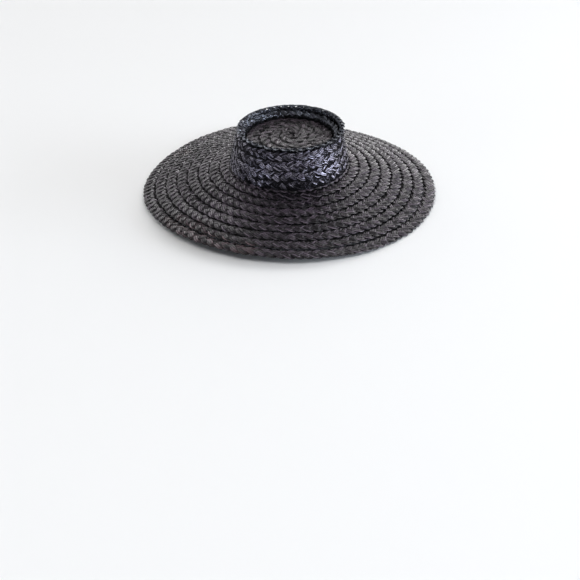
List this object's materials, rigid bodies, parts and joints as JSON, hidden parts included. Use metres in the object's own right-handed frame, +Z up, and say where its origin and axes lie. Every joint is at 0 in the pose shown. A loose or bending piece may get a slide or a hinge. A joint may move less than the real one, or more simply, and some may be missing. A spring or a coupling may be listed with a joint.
{
  "type": "wide-brim straw hat",
  "caption": "Wide-brim hat of sewn black straw plait with an oval crown sunken at the top and a brim sloping down to a wavy edge.",
  "frame": {"origin": "centre of the bounding box at the floor that the brim edge rests on", "axes": "+Z up through the crown, +Y towards the wearer's front, +X to the wearer's right"},
  "size_m": [0.4, 0.4328, 0.0902],
  "materials": {
    "straw_tip": "dyed straw plait, satin",
    "straw_rim": "dyed straw plait, glossy",
    "straw_side": "dyed straw plait, glossy",
    "straw_brim": "dyed straw plait, satin"
  },
  "bodies": {
    "root": {"crown_tip": "straw_tip", "crown_rim": "straw_rim", "crown_side": "straw_side", "brim": "straw_brim"}
  },
  "joints": []
}
